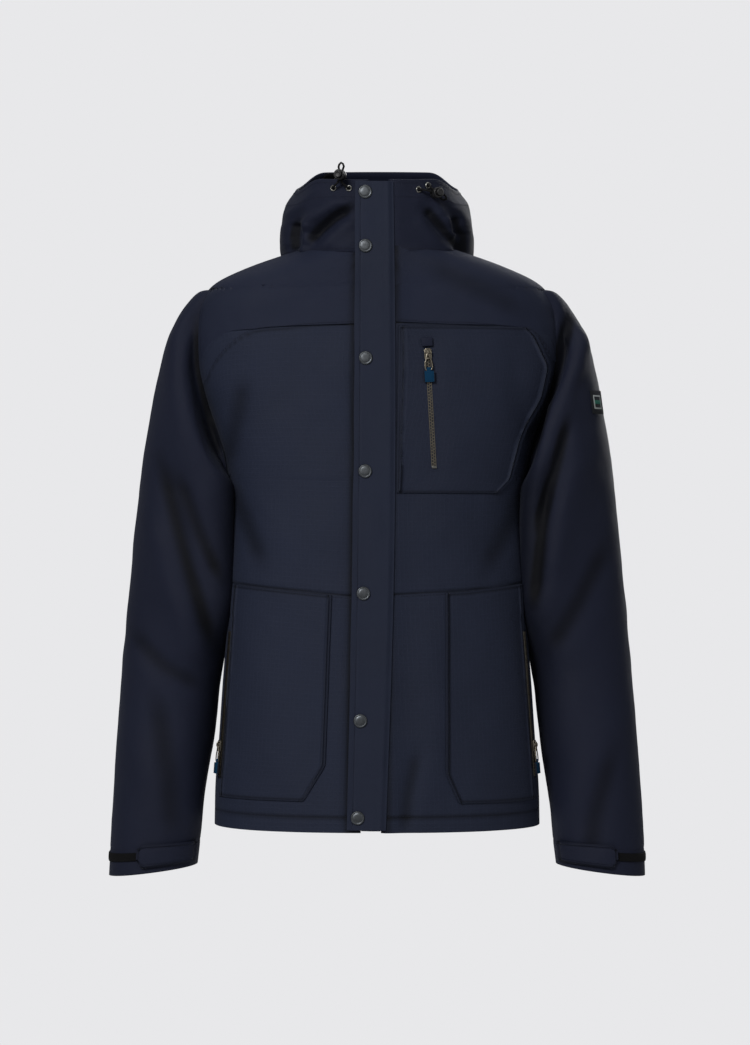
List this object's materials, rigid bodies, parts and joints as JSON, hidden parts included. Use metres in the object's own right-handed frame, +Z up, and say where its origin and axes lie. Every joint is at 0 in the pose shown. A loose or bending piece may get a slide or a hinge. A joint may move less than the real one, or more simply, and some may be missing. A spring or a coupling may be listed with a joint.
{
  "type": "foul weather jacket",
  "caption": "Hooded waterproof sailing jacket with a snapped storm flap over the front zip, a zipped chest pocket, two hip pockets and adjustable cuffs.",
  "frame": {"origin": "underside of the hang loop's bar, inside the back of the neck", "axes": "+Z up, front of the jacket towards -Y, wearer's left towards +X"},
  "size_m": [0.6128, 0.315, 0.8214],
  "materials": {
    "shell_fabric": "matt navy ripstop weave",
    "shell_fabric_dark": "matt navy plain weave",
    "lining_fabric": "smooth black lining",
    "snap_metal": "antique gunmetal",
    "zip_metal": "antique nickel",
    "zip_tape": "ribbed woven tape",
    "pull_tab": "woven blue webbing",
    "black_plastic": "moulded black",
    "cord": "braided black cord and loop tape",
    "badge": "woven label"
  },
  "bodies": {
    "root": {"right_front_panel": "shell_fabric", "left_front_panel": "shell_fabric", "back_panel": "shell_fabric", "shoulder_yoke": "shell_fabric_dark", "right_sleeve": "shell_fabric_dark", "left_sleeve": "shell_fabric_dark", "hood": "shell_fabric_dark", "hood_lining": "lining_fabric", "body_lining": "lining_fabric", "under_placket": "shell_fabric_dark", "flap_seam": "shell_fabric", "chest_pocket": "shell_fabric", "right_hip_pocket": "shell_fabric", "left_hip_pocket": "shell_fabric", "hang_loop": "lining_fabric", "sleeve_badge": "badge", "main_zip_tape": "zip_tape", "main_zip_chain": "black_plastic", "main_zip_box": "black_plastic", "snap_stud_1": "snap_metal", "snap_stud_2": "snap_metal", "snap_stud_3": "snap_metal", "snap_stud_4": "snap_metal", "snap_stud_5": "snap_metal", "snap_stud_6": "snap_metal", "snap_stud_7": "snap_metal", "chest_zip_tape": "zip_tape", "chest_zip_chain": "zip_metal", "right_side_zip_tape": "zip_tape", "left_side_zip_tape": "zip_tape", "eyelet_1": "snap_metal", "eyelet_2": "snap_metal", "eyelet_3": "snap_metal", "eyelet_4": "snap_metal", "right_cord": "cord", "left_cord": "cord", "right_cuff_band": "cord", "left_cuff_band": "cord"},
    "storm_flap": {"storm_flap": "shell_fabric", "snap_cap_1": "snap_metal", "snap_cap_2": "snap_metal", "snap_cap_3": "snap_metal", "snap_cap_4": "snap_metal", "snap_cap_5": "snap_metal", "snap_cap_6": "snap_metal", "snap_cap_7": "snap_metal"},
    "main_zip_slider": {"main_zip_slider": "zip_metal"},
    "chest_zip_slider": {"chest_zip_slider": "zip_metal"},
    "chest_zip_puller": {"chest_zip_puller": "zip_metal", "chest_zip_tab": "pull_tab"},
    "right_side_zip_slider": {"right_side_zip_slider": "zip_metal"},
    "right_side_zip_puller": {"right_side_zip_puller": "zip_metal"},
    "left_side_zip_slider": {"left_side_zip_slider": "zip_metal"},
    "left_side_zip_puller": {"left_side_zip_puller": "zip_metal"},
    "right_cuff_tab": {"right_cuff_tab": "shell_fabric_dark"},
    "left_cuff_tab": {"left_cuff_tab": "shell_fabric_dark"},
    "right_cord_lock": {"right_cord_lock": "black_plastic"},
    "right_lock_button": {"right_lock_button": "black_plastic"},
    "left_cord_lock": {"left_cord_lock": "black_plastic"},
    "left_lock_button": {"left_lock_button": "black_plastic"}
  },
  "joints": [
    {"name": "storm_flap_seam", "type": "hinge", "parent": "root", "child": "storm_flap", "pos_m": [0.01928, -0.16595, -0.29657], "axis": [0.0119, 0.0599, 0.9981], "range_deg": [0, 150]},
    {"name": "main_zip", "type": "slide", "parent": "root", "child": "main_zip_slider", "axis": [-0.0119, -0.0599, -0.9981], "range_m": [0, 0.685]},
    {"name": "chest_zip", "type": "slide", "parent": "root", "child": "chest_zip_slider", "axis": [0.0562, -0.0438, -0.9975], "range_m": [0, 0.117]},
    {"name": "chest_puller", "type": "hinge", "parent": "chest_zip_slider", "child": "chest_zip_puller", "pos_m": [0.05682, -0.1524, -0.12437], "axis": [-0.9927, -0.1095, -0.0511], "range_deg": [0, 150]},
    {"name": "right_side_zip", "type": "slide", "parent": "root", "child": "right_side_zip_slider", "axis": [0.0723, 0.0232, 0.9971], "range_m": [0, 0.12]},
    {"name": "right_side_puller", "type": "hinge", "parent": "right_side_zip_slider", "child": "right_side_zip_puller", "pos_m": [-0.17964, -0.10276, -0.56493], "axis": [-0.3893, 0.9211, 0.0069], "range_deg": [0, 60]},
    {"name": "left_side_zip", "type": "slide", "parent": "root", "child": "left_side_zip_slider", "axis": [-0.0723, 0.0232, 0.9971], "range_m": [0, 0.12]},
    {"name": "left_side_puller", "type": "hinge", "parent": "left_side_zip_slider", "child": "left_side_zip_puller", "pos_m": [0.17964, -0.10276, -0.56493], "axis": [-0.3893, -0.9211, -0.0069], "range_deg": [0, 60]},
    {"name": "right_cuff_tab_seam", "type": "hinge", "parent": "root", "child": "right_cuff_tab", "pos_m": [-0.2107, -0.0956, -0.69], "axis": [0, 0, 1], "range_deg": [0, 110]},
    {"name": "left_cuff_tab_seam", "type": "hinge", "parent": "root", "child": "left_cuff_tab", "pos_m": [0.2107, -0.0956, -0.69], "axis": [0, 0, -1], "range_deg": [0, 110]},
    {"name": "right_cord_lock_slide", "type": "slide", "parent": "root", "child": "right_cord_lock", "axis": [0.0877, -0.0231, 0.9959], "range_m": [0, 0.006]},
    {"name": "left_cord_lock_slide", "type": "slide", "parent": "root", "child": "left_cord_lock", "axis": [0.8196, 0.3508, -0.4529], "range_m": [0, 0.006]},
    {"name": "right_lock_press", "type": "slide", "parent": "right_cord_lock", "child": "right_lock_button", "axis": [0.2546, 0.967, 0], "range_m": [0, 0.0035], "stiffness_N_per_m": 250, "springref_m": -0.003},
    {"name": "left_lock_press", "type": "slide", "parent": "left_cord_lock", "child": "left_lock_button", "axis": [-0.3935, 0.9193, 0], "range_m": [0, 0.0035], "stiffness_N_per_m": 250, "springref_m": -0.003}
  ]
}
